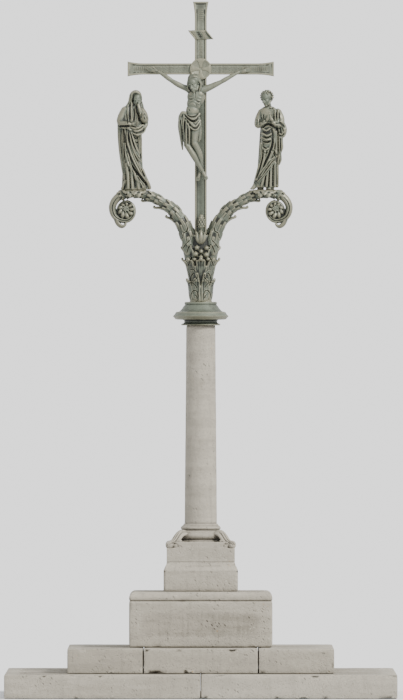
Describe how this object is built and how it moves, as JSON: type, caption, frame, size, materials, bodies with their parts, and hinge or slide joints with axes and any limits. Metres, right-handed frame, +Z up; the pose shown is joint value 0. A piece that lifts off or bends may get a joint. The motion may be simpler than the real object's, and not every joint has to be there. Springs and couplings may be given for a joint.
{
  "type": "wayside cross",
  "caption": "Tall wayside cross: square stone steps, plinth and round claw-footed column under a bronze top of leafy branches that carries a flared cross and cast figures.",
  "frame": {"origin": "on the ground at the middle of the lowest step", "axes": "+Z up; the figures and the cross face -Y; +X is the viewer's right"},
  "size_m": [3.136, 3.136, 5.5824],
  "materials": {
    "limestone": "tooled and weathered",
    "weathered_bronze": "cast, with an old grey-green patina"
  },
  "bodies": {
    "root": {"lower_step_front_left": "limestone", "lower_step_front_right": "limestone", "lower_step_back_left": "limestone", "lower_step_back_right": "limestone", "upper_step_front_middle": "limestone", "upper_step_front_left": "limestone", "upper_step_front_right": "limestone", "upper_step_back_middle": "limestone", "upper_step_back_left": "limestone", "upper_step_back_right": "limestone", "upper_step_left_side": "limestone", "upper_step_right_side": "limestone", "plinth_block": "limestone", "plinth_cap": "limestone", "pedestal": "limestone", "column_foot": "limestone", "column_shaft": "limestone", "crown_mouldings": "weathered_bronze", "leafy_branches": "weathered_bronze", "cross": "weathered_bronze", "title_scroll": "weathered_bronze", "veiled_figure": "weathered_bronze", "young_figure": "weathered_bronze", "hanging_figure": "weathered_bronze"}
  },
  "joints": []
}
